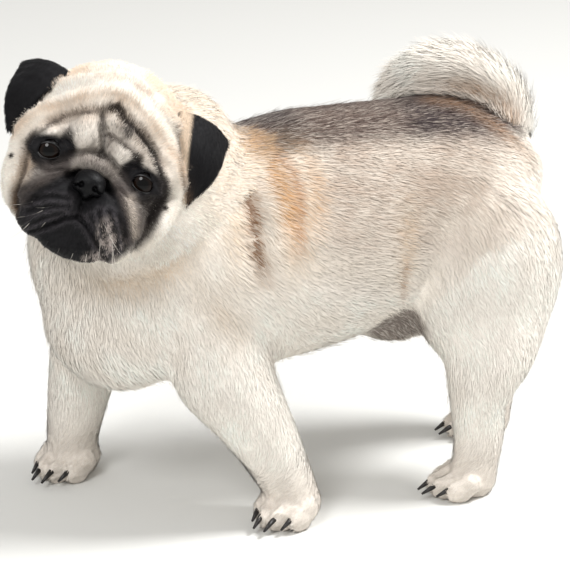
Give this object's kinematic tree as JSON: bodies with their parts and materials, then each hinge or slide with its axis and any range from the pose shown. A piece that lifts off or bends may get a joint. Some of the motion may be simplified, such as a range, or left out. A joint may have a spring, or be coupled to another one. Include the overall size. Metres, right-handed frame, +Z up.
{
  "type": "standing pug dog model",
  "caption": "Life-size still model of a standing pug: wrinkled flat face turned to one side, button ears, stout trunk, four legs on flat soles and a tail curled over the back.",
  "frame": {"origin": "centre of the bounding box on the floor, between the feet", "axes": "the hind part of the dog points along -Y, its left side is +X, +Z is up; the chest and face turn towards +X"},
  "size_m": [0.2216, 0.4364, 0.3561],
  "materials": {
    "fawn_coat": "short dense fur, fawn",
    "cream_coat": "short dense fur, cream",
    "black_velvet": "fine black velvet fur",
    "nose_leather": "moist pebbled leather",
    "eye_surface": "polished dark brown"
  },
  "bodies": {
    "root": {"head": "fawn_coat", "eye_left": "eye_surface", "eye_right": "eye_surface", "nose": "nose_leather", "ear_left": "black_velvet", "ear_right": "black_velvet", "neck": "cream_coat", "torso": "cream_coat", "fore_leg_left": "cream_coat", "fore_leg_right": "cream_coat", "fore_paw_left": "cream_coat", "fore_paw_right": "cream_coat", "hind_leg_left": "cream_coat", "hind_leg_right": "cream_coat", "hind_paw_left": "cream_coat", "hind_paw_right": "cream_coat", "tail_root": "cream_coat", "tail_bend": "cream_coat", "tail_tip": "cream_coat"}
  },
  "joints": []
}
